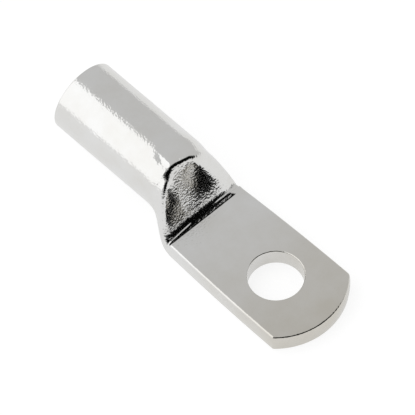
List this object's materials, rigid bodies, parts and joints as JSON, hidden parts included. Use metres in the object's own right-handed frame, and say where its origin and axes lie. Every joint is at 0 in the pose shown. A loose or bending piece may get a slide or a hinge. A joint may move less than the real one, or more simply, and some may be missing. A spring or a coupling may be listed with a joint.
{
  "type": "tubular cable lug",
  "caption": "One-piece tin-plated copper cable lug: round crimp barrel, pressed neck and flat palm with a stud hole.",
  "frame": {"origin": "centre of the stud hole on the palm's contact face", "axes": "+Z out of the stud hole away from the contact face, +X along the lug towards the palm's tip, the barrel towards -X"},
  "size_m": [0.0512, 0.016, 0.0134],
  "materials": {
    "tinned_copper": "electro-tinned copper, satin"
  },
  "bodies": {
    "root": {"cable_lug": "tinned_copper"}
  },
  "joints": []
}
